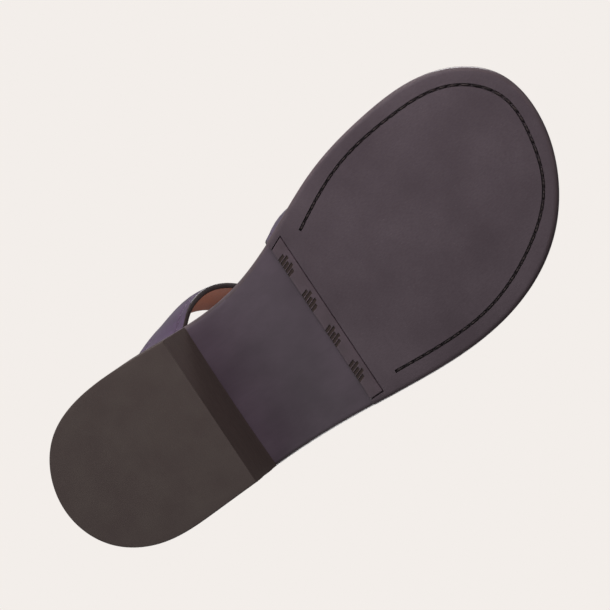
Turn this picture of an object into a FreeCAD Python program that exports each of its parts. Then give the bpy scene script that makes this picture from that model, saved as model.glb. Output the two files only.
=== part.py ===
import FreeCAD, Part
import math
import os

# A left sandal, flat soled, with two crossed straps, a toe stem and a toe post.
# Millimetres. +Y points to the toe, +X to the inner side of the foot, +Z up.
# The origin is on the ground, under the middle of the sole's bounding box.

Vector = FreeCAD.Vector

# ---- driving dimensions ---------------------------------------------------------------

HALF_LENGTH = 130.0
HEEL_HEIGHT = 19.0
TOE_SPRING = 10.0

HALF_SOLE = 2.5
OUTSOLE = 4.0
MIDSOLE = 3.4
INSOLE_BOARD = 1.8
FOOTBED_FOAM = 2.6
FOOTBED_COVER = 1.2
COVER_SIDE = 1.2
FOOTBED_INSET = 3.0

TOP_LIFT = 6.0
HEEL_LIFTS = ("heel_lift_lower", "heel_lift_middle", "heel_lift_upper")
BREAST_FOOT_Y = -52.5
BREAST_TOP_Y = -47.5
WAIST_FRONT_Y = 16.0
TREAD_END_Y = 40.0

OUTER_LEATHER = 1.4
LINING = 1.0
STRAP_SPAN = 25.0
TAB_LENGTH = 14.0
CROSSING_LIFT = 2.6

# The sole's outline, as (x, y) points from the middle of the heel's back, up the inner
# side, round the toe and back down the outer side.
OUTLINE = (
    (-16.5, -130.0), (11.5, -117.0), (20.5, -91.0), (20.0, -52.0), (21.5, -22.0),
    (30.5, 9.0), (43.5, 39.0), (51.0, 72.0), (49.5, 106.0), (35.0, 125.5),
    (13.5, 130.0), (-9.0, 124.5), (-32.0, 108.0), (-46.0, 84.0), (-51.5, 50.0),
    (-49.5, 5.0), (-49.0, -30.0), (-51.0, -75.0), (-49.5, -103.0), (-38.0, -122.0),
)

# The stitch channel's line, from its inner end round the toe to its outer end.
CHANNEL = (
    (26.5, 23.0), (40.0, 52.0), (44.5, 80.0), (41.0, 108.0), (26.5, 121.7),
    (7.0, 122.3), (-14.0, 115.0), (-31.0, 96.0), (-41.5, 71.0), (-43.5, 44.0),
    (-42.5, 23.5),
)
CHANNEL_WIDTH = 1.3
CHANNEL_DEPTH = 1.2
STITCH_PITCH = 4.6
STITCH_LENGTH = 3.4
THREAD = 0.9
THREAD_GAP = 0.05

# The inlaid strip across the sole where the waist meets the half sole.
STRIP_CORNERS = ((26.0, 8.0), (29.0, 14.5), (-46.4, 14.5), (-46.6, 8.0))
STRIP_DEPTH = 1.6
STRIP_GAP = 0.35

# The foot form that the straps arch over. It stands on the footbed's edge, swells past it
# on the inner side, and has an upright wall on the outer side. Each swelling is given as
# its depth, the station of its middle, and its reach along the foot. The form's top rises
# evenly from its front height over the footbed to its rear height.
REAR_Y = -65.0
FRONT_Y = 18.5
STRAP_CLEARANCE = 0.3
SWELLINGS = ((9.3, -46.0, 26.5), (3.4, 8.0, 12.0))
REAR_RISE = 57.0
FRONT_RISE = 50.2
STRAP_TAPER = 0.13
OVER_SHARE = 0.86
ARCH_STEPS = 16

POST_X = 19.0
POST_Y = 75.0
POST_TOP = 34.0
POST_RADIUS = 3.4
CORE_RADIUS = 1.5
ANCHOR_RADIUS = 8.0
ANCHOR = 1.2
POST_KNOT_RADIUS = 3.5
POST_KNOT = 1.0

# The underside of the toe stem's lining, from under the crossing to the toe post.
STEM_PATH = (
    (-12.0, -31.0, 74.3), (-11.0, -12.0, 69.6), (-5.5, 12.0, 62.8), (2.5, 35.0, 54.2),
    (10.5, 55.0, 44.8), (16.4, 68.0, 37.4), (19.2, 75.5, 32.2),
)
STEM_WIDE = 15.0
STEM_NARROW = 7.0
STEM_STEPS = 16

SHANK_REAR = Vector(-15.5, -94.0, 0.0)
SHANK_FRONT = Vector(-8.0, 30.0, 0.0)
SHANK_WIDTH = 13.0
SHANK = 1.2
RIVET_RADIUS = 1.5
RIVET_INSET = 8.0

CORK_INSET = 15.0
CORK_BACK_Y = 38.0
CORK_FRONT_Y = 106.0
CORK = 2.6

NAIL_RADIUS = 1.0
NAIL_HEAD_RADIUS = 2.2
NAIL_HEAD = 0.8
NAIL_POINT_Z = 8.0
HEEL_NAILS = ((-16.0, -117.0), (2.5, -102.0), (-33.5, -102.0), (3.0, -80.0), (-34.0, -80.0))

TACK_RADIUS = 0.6
TACK_HEAD_RADIUS = 1.5
TACK_HEAD = 0.5
TACK_LENGTH = 5.0
TACK_SPACING = 10.0
TACK_INSET = 9.0

THREAD_RADIUS = 0.4
CROSSING_X = -11.8
CROSSING_Y = -22.8
CROSSING_SPACING = 5.0
STEM_DROP = 3.6

# Construction sizes: half width and height of the trimming solids, how far they run past
# what they trim, the stations between which a slope is measured, and the points along the
# outline from which its sides are read.
WIDE = 80.0
TALL = 120.0
OVERRUN = 10.0
SLOPE_STEP = 1.0
RIM_POINTS = 400

# ---- levels worked out from the thicknesses ---------------------------------------------

MIDSOLE_BASE = OUTSOLE
BOARD_BASE = MIDSOLE_BASE + MIDSOLE
FOAM_BASE = BOARD_BASE + INSOLE_BOARD
COVER_BASE = FOAM_BASE + FOOTBED_FOAM
FOOTBED_TOP = COVER_BASE + FOOTBED_COVER
STRAP = OUTER_LEATHER + LINING


def sole_height(y):
    """Height of the outsole's underside: level under the heel, down the waist, up at the toe."""
    if y <= BREAST_TOP_Y:
        return HEEL_HEIGHT
    if y >= TREAD_END_Y:
        rise = (y - TREAD_END_Y) / (HALF_LENGTH - TREAD_END_Y)
        return HALF_SOLE + TOE_SPRING * rise**2
    t = min(1.0, (y - BREAST_TOP_Y) / (WAIST_FRONT_Y - BREAST_TOP_Y))
    return HEEL_HEIGHT + (HALF_SOLE - HEEL_HEIGHT) * (3.0 * t**2 - 2.0 * t**3)


def sole_slope(y):
    """Slope of the underside along Y."""
    return (sole_height(y + SLOPE_STEP) - sole_height(y - SLOPE_STEP)) / (2.0 * SLOPE_STEP)


# ---- plane outlines ---------------------------------------------------------------------


def spline(points, closed):
    curve = Part.BSplineCurve()
    curve.interpolate(Points=points, PeriodicFlag=closed)
    return curve


def side_step(curve, point, distance):
    """The point moved square to the curve, to its left when walking along it."""
    tangent = curve.tangent(curve.parameter(point))[0]
    return point + Vector(-tangent.y, tangent.x, 0.0) * distance


def outline_curve():
    return spline([Vector(x, y, 0.0) for x, y in OUTLINE], True)


def outline_face(inset):
    points = [Vector(x, y, 0.0) for x, y in OUTLINE]
    curve = outline_curve()
    if inset:
        curve = spline([side_step(curve, p, inset) for p in points], True)
    return Part.Face(Part.Wire(curve.toShape()))


def prism(face):
    return face.extrude(Vector(0.0, 0.0, TALL))


def profile_edges(level):
    """The underside's curve in the YZ plane, raised by level, from the heel to the toe."""
    back = -HALF_LENGTH - OVERRUN
    front = HALF_LENGTH + OVERRUN
    third = (WAIST_FRONT_Y - BREAST_TOP_Y) / 3.0
    high = HEEL_HEIGHT + level
    low = HALF_SOLE + level
    waist = Part.BezierCurve()
    waist.setPoles([
        Vector(0.0, BREAST_TOP_Y, high),
        Vector(0.0, BREAST_TOP_Y + third, high),
        Vector(0.0, WAIST_FRONT_Y - third, low),
        Vector(0.0, WAIST_FRONT_Y, low),
    ])
    toe = Part.BezierCurve()
    toe.setPoles([
        Vector(0.0, TREAD_END_Y, low),
        Vector(0.0, (TREAD_END_Y + front) / 2.0, low),
        Vector(0.0, front, sole_height(front) + level),
    ])
    return [
        Part.LineSegment(Vector(0.0, back, high), Vector(0.0, BREAST_TOP_Y, high)).toShape(),
        waist.toShape(),
        Part.LineSegment(
            Vector(0.0, WAIST_FRONT_Y, low), Vector(0.0, TREAD_END_Y, low)
        ).toShape(),
        toe.toShape(),
    ]


def slab(low, high):
    """Everything between two levels above the outsole's underside."""
    bottom = profile_edges(low)
    top = profile_edges(high)
    back = Part.LineSegment(
        bottom[0].Vertexes[0].Point, top[0].Vertexes[0].Point
    ).toShape()
    front = Part.LineSegment(
        bottom[-1].Vertexes[-1].Point, top[-1].Vertexes[-1].Point
    ).toShape()
    wire = Part.Wire(Part.__sortEdges__(bottom + top + [back, front]))
    face = Part.Face(wire)
    face.translate(Vector(-WIDE, 0.0, 0.0))
    return face.extrude(Vector(2.0 * WIDE, 0.0, 0.0))


def layer(inset, low, high):
    return prism(outline_face(inset)).common(slab(low, high))


def across(y_low, y_high):
    """A tall box over the whole width between two stations."""
    return Part.makeBox(
        2.0 * WIDE, y_high - y_low, 2.0 * TALL, Vector(-WIDE, y_low, -TALL)
    )


def flat_prism(corners, low, high):
    points = [Vector(x, y, low) for x, y in corners]
    face = Part.Face(Part.makePolygon(points + points[:1]))
    return face.extrude(Vector(0.0, 0.0, high - low))


# ---- heel -------------------------------------------------------------------------------


def breast_y(z):
    return BREAST_FOOT_Y + (BREAST_TOP_Y - BREAST_FOOT_Y) * z / HEEL_HEIGHT


def heel_slice(low, high):
    back = -HALF_LENGTH - OVERRUN
    points = [
        Vector(-WIDE, back, low),
        Vector(-WIDE, breast_y(low), low),
        Vector(-WIDE, breast_y(high), high),
        Vector(-WIDE, back, high),
    ]
    wedge = Part.Face(Part.makePolygon(points + points[:1]))
    return prism(outline_face(0.0)).common(wedge.extrude(Vector(2.0 * WIDE, 0.0, 0.0)))


def heel_parts():
    parts = {"top_lift": heel_slice(0.0, TOP_LIFT)}
    each = (HEEL_HEIGHT - TOP_LIFT) / len(HEEL_LIFTS)
    for number, name in enumerate(HEEL_LIFTS):
        low = TOP_LIFT + number * each
        parts[name] = heel_slice(low, low + each)
    return parts


def heel_nails():
    top = HEEL_HEIGHT + BOARD_BASE
    nails = []
    for x, y in HEEL_NAILS:
        shaft = Part.makeCylinder(NAIL_RADIUS, top - NAIL_POINT_Z, Vector(x, y, NAIL_POINT_Z))
        head = Part.makeCylinder(NAIL_HEAD_RADIUS, NAIL_HEAD, Vector(x, y, top - NAIL_HEAD))
        nails.append(shaft.fuse(head).removeSplitter())
    return nails


# ---- half sole, its stitch channel and the inlaid strip -----------------------------------


def channel_curve():
    return spline([Vector(x, y, 0.0) for x, y in CHANNEL], False)


def channel_band():
    """The channel's plan shape, as a tall solid with square ends."""
    centre = channel_curve()
    points = [Vector(x, y, 0.0) for x, y in CHANNEL]
    half = CHANNEL_WIDTH / 2.0
    left = [side_step(centre, p, half) for p in points]
    right = [side_step(centre, p, -half) for p in points]
    edges = [
        spline(left, False).toShape(),
        Part.LineSegment(left[-1], right[-1]).toShape(),
        spline(right, False).toShape(),
        Part.LineSegment(right[0], left[0]).toShape(),
    ]
    face = Part.Face(Part.Wire(Part.__sortEdges__(edges)))
    face.translate(Vector(0.0, 0.0, -TALL / 2.0))
    return prism(face)


def channel_stitches():
    """Short lengths of thread lying against the channel's inner face, end to end."""
    curve = channel_curve()
    length = curve.length()
    count = int(length / STITCH_PITCH)
    pitch = length / count
    stitches = []
    for number in range(count):
        middle = curve.value(curve.parameterAtDistance((number + 0.5) * pitch))
        tangent = curve.tangent(curve.parameter(middle))[0]
        run = Vector(tangent.x, tangent.y, tangent.y * sole_slope(middle.y)).normalize()
        channel_top = sole_height(middle.y) - HALF_SOLE + CHANNEL_DEPTH
        seat = channel_top - THREAD / 2.0 - THREAD_GAP
        start = Vector(middle.x, middle.y, seat) - run * (STITCH_LENGTH / 2.0)
        stitches.append(Part.makeCylinder(THREAD / 2.0, STITCH_LENGTH, start, run))
    return stitches


def strip_solid(grow):
    """The inlaid strip, or with grow the pocket that it lies in."""
    (rear_in, front_in, front_out, rear_out) = STRIP_CORNERS
    corners = (
        (rear_in[0] + grow, rear_in[1]),
        (front_in[0] + grow, front_in[1] + grow),
        (front_out[0] - grow, front_out[1] + grow),
        (rear_out[0] - grow, rear_out[1]),
    )
    block = flat_prism(corners, -TALL / 2.0, TALL / 2.0)
    return block.common(slab(-HALF_SOLE, -HALF_SOLE + STRIP_DEPTH))


def half_sole():
    rear_y = STRIP_CORNERS[0][1]
    body = layer(0.0, -HALF_SOLE, 0.0).common(across(rear_y, HALF_LENGTH + OVERRUN))
    channel = channel_band().common(slab(-HALF_SOLE - OVERRUN, -HALF_SOLE + CHANNEL_DEPTH))
    return body.cut(channel).cut(strip_solid(STRIP_GAP))


# ---- shank, cork and footbed --------------------------------------------------------------


def shank_direction():
    return (SHANK_FRONT - SHANK_REAR).normalize()


def shank():
    along = shank_direction()
    half = Vector(-along.y, along.x, 0.0) * (SHANK_WIDTH / 2.0)
    ends = (SHANK_REAR - half, SHANK_FRONT - half, SHANK_FRONT + half, SHANK_REAR + half)
    corners = [(p.x, p.y) for p in ends]
    block = flat_prism(corners, -TALL / 2.0, TALL / 2.0)
    return block.common(slab(BOARD_BASE - SHANK, BOARD_BASE))


def shank_rivets():
    along = shank_direction()
    rivets = []
    for place in (SHANK_REAR + along * RIVET_INSET, SHANK_FRONT - along * RIVET_INSET):
        base = sole_height(place.y) + BOARD_BASE - SHANK
        rivets.append(
            Part.makeCylinder(
                RIVET_RADIUS, SHANK + INSOLE_BOARD, Vector(place.x, place.y, base)
            )
        )
    return rivets


def cork_filler():
    region = layer(CORK_INSET, BOARD_BASE - CORK, BOARD_BASE)
    return region.common(across(CORK_BACK_Y, CORK_FRONT_Y))


def footbed_cover():
    cap = layer(FOOTBED_INSET, FOAM_BASE, FOOTBED_TOP)
    return cap.cut(layer(FOOTBED_INSET + COVER_SIDE, FOAM_BASE - OVERRUN, COVER_BASE))


# ---- straps -------------------------------------------------------------------------------

RIM = outline_curve().discretize(RIM_POINTS)


def rim_x(y, inside):
    """The outline's x at a station, on the inner or the outer side of the foot."""
    crossings = []
    for a, b in zip(RIM, RIM[1:] + RIM[:1]):
        if (a.y - y) * (b.y - y) < 0.0:
            crossings.append(a.x + (b.x - a.x) * (y - a.y) / (b.y - a.y))
    return max(crossings) if inside else min(crossings)


def foot_x(y, inside):
    """Where a strap's inner face stands beside the footbed."""
    ahead = rim_x(y + SLOPE_STEP, inside)
    slope = (ahead - rim_x(y - SLOPE_STEP, inside)) / (2.0 * SLOPE_STEP)
    inset = (FOOTBED_INSET - STRAP_CLEARANCE) * math.sqrt(1.0 + slope**2)
    return rim_x(y, inside) - inset if inside else rim_x(y, inside) + inset


def board_level(y):
    return sole_height(y) + BOARD_BASE


def swelling(y):
    """How far the foot form swells past the footbed's inner edge."""
    return sum(depth * math.exp(-(((y - middle) / reach) ** 2)) for depth, middle, reach in SWELLINGS)


def form_at(y):
    """Middle, half width, half height, centre height and base turn of the foot form."""
    share = (y - REAR_Y) / (FRONT_Y - REAR_Y)
    inner_base = foot_x(y, True)
    inner = inner_base + swelling(y)
    outer = foot_x(y, False)
    middle = (inner + outer) / 2.0
    half_width = (inner - outer) / 2.0
    turn = math.acos((inner_base - middle) / half_width)
    rise = REAR_RISE + (FRONT_RISE - REAR_RISE) * share
    half_height = rise / (1.0 + math.sin(turn))
    rear_base = board_level(REAR_Y) + FOOTBED_TOP - BOARD_BASE
    front_base = board_level(FRONT_Y) + FOOTBED_TOP - BOARD_BASE
    base = rear_base + (front_base - rear_base) * share
    return middle, half_width, half_height, base + half_height * math.sin(turn), turn


def form_point(share, y, depth):
    """A point over the form. share is 0 at the footbed's inner edge and 1 where the outer
    wall starts."""
    middle, half_width, half_height, centre, base_turn = form_at(y)
    turn = -base_turn + (math.pi + base_turn) * share
    across_x = math.cos(turn)
    up = math.sin(turn)
    outward = Vector(across_x / half_width, 0.0, up / half_height).normalize()
    on_form = Vector(middle + half_width * across_x, y, centre + half_height * up)
    return on_form + outward * depth


def lift_at(share, lift):
    return lift * (1.0 - (1.0 - math.sin(math.pi * share)) ** 3)


def arch_corners(starts_inside, number, lift, low, high):
    """The four corners of a strap's section at one step of its arch."""
    share = number / float(ARCH_STEPS)
    travel = FRONT_Y - REAR_Y
    y = REAR_Y + travel * OVER_SHARE * share
    if not starts_inside:
        y += travel * (1.0 - OVER_SHARE)
        share = 1.0 - share
    raised = lift_at(share, lift)
    half = STRAP_SPAN / 2.0 * (1.0 - STRAP_TAPER * math.sin(math.pi * share))
    rear = y - half
    front = y + half
    return [
        form_point(share, rear, raised + low),
        form_point(share, front, raised + low),
        form_point(share, front, raised + high),
        form_point(share, rear, raised + high),
    ]


def foot_corners(inside, y, z, low, high):
    """The four corners of a strap's section where it stands beside the footbed."""
    side = 1.0 if inside else -1.0
    rear = y - STRAP_SPAN / 2.0
    front = y + STRAP_SPAN / 2.0
    rear_x = foot_x(rear, inside)
    front_x = foot_x(front, inside)
    return [
        Vector(rear_x + side * low, rear, z),
        Vector(front_x + side * low, front, z),
        Vector(front_x + side * high, front, z),
        Vector(rear_x + side * high, rear, z),
    ]


def loft(sections):
    """A solid through four cornered sections, with straight sides between them."""
    wires = [Part.makePolygon(corners + corners[:1]) for corners in sections]
    solid = Part.makeLoft(wires, True, True)
    if solid.Volume < 0.0:
        solid.reverse()
    return solid


def tab(inside, y, bottom, thickness, high):
    """The end of a strap turned under the insole board."""
    side = 1.0 if inside else -1.0
    _, _, front_out, rear_out = foot_corners(inside, y, bottom, 0.0, high)
    inward = Vector(-side * (TAB_LENGTH + high), 0.0, 0.0)
    corners = [rear_out, front_out, front_out + inward, rear_out + inward]
    face = Part.Face(Part.makePolygon(corners + corners[:1]))
    return face.extrude(Vector(0.0, 0.0, thickness))


def strap_layer(starts_inside, lift, low, high, depth):
    """One leather of a strap between two depths over the form. depth is how far its tabs'
    undersides lie below the insole board."""
    rear_z = board_level(REAR_Y)
    front_z = board_level(FRONT_Y)
    sections = [
        foot_corners(starts_inside, REAR_Y, rear_z - depth, low, high),
        foot_corners(starts_inside, REAR_Y, rear_z, low, high),
    ]
    for number in range(ARCH_STEPS + 1):
        sections.append(arch_corners(starts_inside, number, lift, low, high))
    sections += [
        foot_corners(not starts_inside, FRONT_Y, front_z, low, high),
        foot_corners(not starts_inside, FRONT_Y, front_z - depth, low, high),
    ]
    thickness = high - low
    body = loft(sections)
    body = body.fuse(tab(starts_inside, REAR_Y, rear_z - depth, thickness, high))
    body = body.fuse(tab(not starts_inside, FRONT_Y, front_z - depth, thickness, high))
    return body.removeSplitter()


def strap_parts(name, starts_inside, lift):
    return {
        name + "_lining": strap_layer(starts_inside, lift, 0.0, LINING, LINING),
        name + "_outer": strap_layer(starts_inside, lift, LINING, STRAP, STRAP),
    }


def strap_tacks():
    """Two tacks through each of the four pairs of tabs, heads level with the tabs' tops."""
    tacks = []
    for inside in (True, False):
        for y in (REAR_Y, FRONT_Y):
            for place in (y - TACK_SPACING / 2.0, y + TACK_SPACING / 2.0):
                inward = -TACK_INSET if inside else TACK_INSET
                top = Vector(foot_x(place, inside) + inward, place, board_level(y))
                down = Vector(0.0, 0.0, -1.0)
                shaft = Part.makeCylinder(TACK_RADIUS, TACK_LENGTH, top, down)
                head = Part.makeCylinder(TACK_HEAD_RADIUS, TACK_HEAD, top, down)
                tacks.append(shaft.fuse(head).removeSplitter())
    return tacks


# ---- toe stem and toe post ----------------------------------------------------------------


def stem_layer(low, high):
    """One leather of the toe stem, between two depths over its underside."""
    curve = spline([Vector(*point) for point in STEM_PATH], False)
    sections = []
    for number in range(STEM_STEPS + 1):
        share = number / float(STEM_STEPS)
        place = curve.parameterAtDistance(curve.length() * share)
        point = curve.value(place)
        along = curve.tangent(place)[0]
        half = Vector(along.y, -along.x, 0.0).normalize()
        up = half.cross(along)
        half = half * (STEM_WIDE + (STEM_NARROW - STEM_WIDE) * share) / 2.0
        sections.append([
            point - half + up * low,
            point + half + up * low,
            point + half + up * high,
            point - half + up * high,
        ])
    return loft(sections).cut(post_blank())


def post_blank():
    """The toe post's outside, from the insole board's underside to its rounded top."""
    base = Vector(POST_X, POST_Y, board_level(POST_Y))
    shaft = Part.makeCylinder(POST_RADIUS, POST_TOP - base.z, base)
    return shaft.fuse(Part.makeSphere(POST_RADIUS, Vector(POST_X, POST_Y, POST_TOP)))


def post_core():
    """The cord inside the post, with the knot that holds it under the anchor washer."""
    washer_base = board_level(POST_Y) - ANCHOR
    base = Vector(POST_X, POST_Y, washer_base - POST_KNOT)
    cord = Part.makeCylinder(CORE_RADIUS, POST_TOP - base.z, base)
    knot = Part.makeCylinder(POST_KNOT_RADIUS, POST_KNOT, base)
    return cord.fuse(knot).removeSplitter()


def anchor_washer():
    base = Vector(POST_X, POST_Y, board_level(POST_Y) - ANCHOR)
    return Part.makeCylinder(ANCHOR_RADIUS, ANCHOR, base)


def form_top(x, y):
    """Height of the foot form's surface over a point near its middle."""
    middle, half_width, half_height, centre, _ = form_at(y)
    return centre + half_height * math.sqrt(1.0 - ((x - middle) / half_width) ** 2)


def crossing_stitches():
    """A square of stitches through the toe stem and both straps where they cross."""
    stitches = []
    steps = (-CROSSING_SPACING, 0.0, CROSSING_SPACING)
    for step_x in steps:
        for step_y in steps:
            if step_x or step_y:
                x = CROSSING_X + step_x
                y = CROSSING_Y + step_y
                bottom = form_top(CROSSING_X, y) - STEM_DROP
                top = form_top(x, y) + CROSSING_LIFT + STRAP
                stitches.append(
                    Part.makeCylinder(THREAD_RADIUS, top - bottom, Vector(x, y, bottom))
                )
    return stitches


# ---- assembly -----------------------------------------------------------------------------


def cut_from(shapes, tool, names):
    """Makes room for a piece in the pieces that it passes through or lies in."""
    for name in names:
        shapes[name] = shapes[name].cut(tool)


def main():
    os.makedirs("parts", exist_ok=True)
    heel = heel_parts()
    straps = strap_parts("rear_inner_strap", True, 0.0)
    straps.update(strap_parts("rear_outer_strap", False, CROSSING_LIFT))
    foam_inset = FOOTBED_INSET + COVER_SIDE
    shapes = {
        "half_sole": half_sole(),
        "transition_strip": strip_solid(0.0),
        "channel_thread": Part.makeCompound(channel_stitches()),
        "outsole": layer(0.0, 0.0, OUTSOLE),
        "midsole": layer(0.0, MIDSOLE_BASE, BOARD_BASE),
        "shank": shank(),
        "shank_rivets": Part.makeCompound(shank_rivets()),
        "cork_filler": cork_filler(),
        "insole_board": layer(FOOTBED_INSET, BOARD_BASE, FOAM_BASE),
        "footbed_foam": layer(foam_inset, FOAM_BASE, COVER_BASE),
        "footbed_cover": footbed_cover(),
        "heel_nails": Part.makeCompound(heel_nails()),
        "strap_tacks": Part.makeCompound(strap_tacks()),
        "crossing_stitches": Part.makeCompound(crossing_stitches()),
        "toe_stem_lining": stem_layer(0.0, LINING),
        "toe_stem_outer": stem_layer(LINING, STRAP),
        "toe_post_wrap": post_blank().cut(post_core()),
        "toe_post_core": post_core(),
        "toe_post_washer": anchor_washer().cut(post_core()),
    }
    shapes.update(heel)
    shapes.update(straps)

    cut_from(shapes, shapes["cork_filler"], ["midsole"])
    cut_from(shapes, shapes["shank"], ["midsole"])
    for strap in straps:
        cut_from(shapes, shapes[strap], ["midsole", "outsole"])
    cut_from(shapes, shapes["shank_rivets"], ["shank", "insole_board"])
    cut_from(shapes, shapes["heel_nails"], ["midsole", "outsole"] + list(heel)[1:])
    cut_from(shapes, shapes["strap_tacks"], ["midsole", "outsole"] + list(straps))
    cut_from(shapes, post_blank(), ["insole_board", "footbed_foam", "footbed_cover"])
    cut_from(shapes, post_blank(), ["cork_filler"])
    cut_from(shapes, anchor_washer(), ["insole_board", "cork_filler"])
    cut_from(shapes, post_core(), ["cork_filler"])
    stitched = ["toe_stem_lining", "toe_stem_outer"] + list(straps)
    cut_from(shapes, shapes["crossing_stitches"], stitched)

    for name, shape in shapes.items():
        shape.exportStep("parts/" + name + ".step")
    return shapes


if __name__ == "__main__":
    main()
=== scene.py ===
import math

import bmesh
import bpy
import numpy as np
from mathutils import Matrix, Vector


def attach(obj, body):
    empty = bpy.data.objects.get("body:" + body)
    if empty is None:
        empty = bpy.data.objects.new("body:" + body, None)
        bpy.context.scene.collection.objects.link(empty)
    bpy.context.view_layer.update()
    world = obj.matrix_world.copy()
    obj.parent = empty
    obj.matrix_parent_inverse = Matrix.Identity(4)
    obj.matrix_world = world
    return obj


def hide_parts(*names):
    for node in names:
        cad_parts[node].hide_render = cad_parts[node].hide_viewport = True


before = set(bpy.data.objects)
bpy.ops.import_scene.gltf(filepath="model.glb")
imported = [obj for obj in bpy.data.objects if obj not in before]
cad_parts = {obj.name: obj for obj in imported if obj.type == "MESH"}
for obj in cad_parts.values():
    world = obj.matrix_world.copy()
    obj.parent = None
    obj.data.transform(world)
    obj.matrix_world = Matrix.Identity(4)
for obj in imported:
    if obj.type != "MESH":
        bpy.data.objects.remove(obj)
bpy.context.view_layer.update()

# A left leather toe post sandal. Lengths are in millimetres until a mesh is made.
# +Y points to the toe, +X to the inner side of the foot, +Z up, origin on the ground.

MM = 0.001

# ---- dimensions shared with the CAD model ----

HALF_LENGTH = 130.0
HEEL_HEIGHT = 19.0
TOE_SPRING = 10.0
HALF_SOLE = 2.5
MIDSOLE_BASE = 4.0
BOARD_BASE = 7.4
FOAM_BASE = 9.2
FOOTBED_TOP = 13.0
FOOTBED_INSET = 3.0
COVER = 1.2
GLUE_LINE = 0.1
TOP_LIFT = 6.0
BREAST_FOOT_Y = -52.5
BREAST_TOP_Y = -47.5
WAIST_FRONT_Y = 16.0
TREAD_END_Y = 40.0
LINING = 1.0
STRAP = 2.4
STRAP_SPAN = 25.0
CROSSING_LIFT = 2.6
CROSSING = (-11.8, -22.8)

OUTLINE = (
    (-16.5, -130.0), (11.5, -117.0), (20.5, -91.0), (20.0, -52.0), (21.5, -22.0),
    (30.5, 9.0), (43.5, 39.0), (51.0, 72.0), (49.5, 106.0), (35.0, 125.5),
    (13.5, 130.0), (-9.0, 124.5), (-32.0, 108.0), (-46.0, 84.0), (-51.5, 50.0),
    (-49.5, 5.0), (-49.0, -30.0), (-51.0, -75.0), (-49.5, -103.0), (-38.0, -122.0),
)
CHANNEL = (
    (26.5, 23.0), (40.0, 52.0), (44.5, 80.0), (41.0, 108.0), (26.5, 121.7),
    (7.0, 122.3), (-14.0, 115.0), (-31.0, 96.0), (-41.5, 71.0), (-43.5, 44.0),
    (-42.5, 23.5),
)
CHANNEL_WIDTH = 1.3
CHANNEL_DEPTH = 1.2
STRIP_REAR = 8.0
STRIP_FRONT = 14.5
STRIP_CORNERS = (
    (26.0, STRIP_REAR), (29.0, STRIP_FRONT), (-46.4, STRIP_FRONT), (-46.6, STRIP_REAR),
)
STRIP_DEPTH = 1.6
STRIP_GAP = 0.35

REAR_Y = -65.0
FRONT_Y = 18.5
STRAP_CLEARANCE = 0.3
STRAP_TUCK = 1.8
# Where the foot form swells past the footbed, as (depth, middle y, reach).
SWELLINGS = ((9.3, -46.0, 26.5), (3.4, 8.0, 12.0))
REAR_RISE = 57.0
FRONT_RISE = 50.2
STRAP_TAPER = 0.13
OVER_SHARE = 0.86
ARCH_STEPS = 16

POST = (19.0, 75.0)
POST_RADIUS = 3.4
# The post stands upright to these heights over its base, and then leans over: steps to the
# outer side and back, and the height over the ground.
POST_UPRIGHT = (0.0, 8.0, 15.0)
POST_LEAN = ((0.3, 1.0, 30.2), (2.2, 6.5, 34.6), (6.3, 16.0, 40.0))
POST_FLAT_DIRECTION = (0.93, -0.37, 0.0)
STEM_PATH = (
    (-12.0, -31.0, 74.3), (-11.0, -12.0, 69.6), (-5.5, 12.0, 62.8), (2.5, 35.0, 54.2),
    (10.5, 55.0, 44.8), (16.4, 68.0, 37.4), (19.2, 75.5, 32.2),
)
STEM_WIDE = 15.0
STEM_NARROW = 7.0

# ---- finish dimensions ----

BEVEL_IN = 2.3
BEVEL_UP = 1.5
BEVEL_FADE = 4.0
WAIST_CROWN = 0.7
SHARP_ANGLE = math.radians(38.0)

# Beyond both ends of the sole, and over everything.
FAR = 1000.0
ABOVE_ALL = 150.0

# How finely the surfaces are drawn.
EDGE_STEPS = 6
SOLE_ROWS = 150
HEEL_ROWS = 90
SOLE_COLUMNS = 26
RIM_POINTS = 1600
CURVE_POINTS = 60
CHANNEL_ROWS = 150
THREAD_ROWS = 400
STRIP_ROWS = 34
STRIP_COLUMNS = 330
STRAP_ROWS = 150
STEM_ROWS = 90
POST_ROWS = 80

# Points and edges closer or shorter than this, in metres, are merged.
SAME_POINT = 2e-7
NO_LENGTH = 1e-7

# Rounded edges, as (in from the wall, up the wall).
BROKEN_EDGE = (0.1, 0.1)
TOP_LIFT_LOWER_EDGE = (0.5, 0.5)
TOP_LIFT_UPPER_EDGE = (0.12, 0.12)
LIFT_EDGE = (0.22, 0.22)
SEAM_EDGE = (0.12, 0.15)
MIDSOLE_UPPER_EDGE = (0.9, 0.8)
FOOTBED_EDGE = (2.2, 1.6)
FOAM_EDGE = (0.8, 0.6)

# The heel's lifts from the lowest up, and how far each stands in from the rim.
LIFTS = (("heel_lift_lower", 0.12), ("heel_lift_middle", 0.0), ("heel_lift_upper", 0.09))

# The footbed's hollows, as (middle y, reach, depth).
HOLLOWS = ((-92.0, 26.0, 0.9), (55.0, 32.0, 0.7), (104.0, 12.0, 0.35))

# A face that looks down more than this belongs to the underside.
SOLE_UNDERSIDE = 0.9
TREAD_UNDERSIDE = 0.93

# How far a cut starts under the half sole, and where its faces get near-black painted shade.
CUT_PAST = 1.0
CUT_FROM_RIM = BEVEL_IN + 1.0
CUT_UNDER_TOP = 0.3

# The strip's edge, as (reach, drop), and its groups of tooled bars.
STRIP_EDGE = (0.5, 0.35)
STRIP_SUNK = 0.03
BAR_GROUPS = 4
FIRST_GROUP_X = 18.0
GROUP_PITCH = 17.2
BARS = 5
BAR_PITCH = 1.75
BAR_LENGTHS = (3.2, 4.4)
BAR_MIDDLE = 2.4
BAR_SLANT = 0.35
BAR_HALF_WIDTH = (0.58, 0.74)
BAR_END = 0.25
BAR_DEPTH = 0.28

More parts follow.
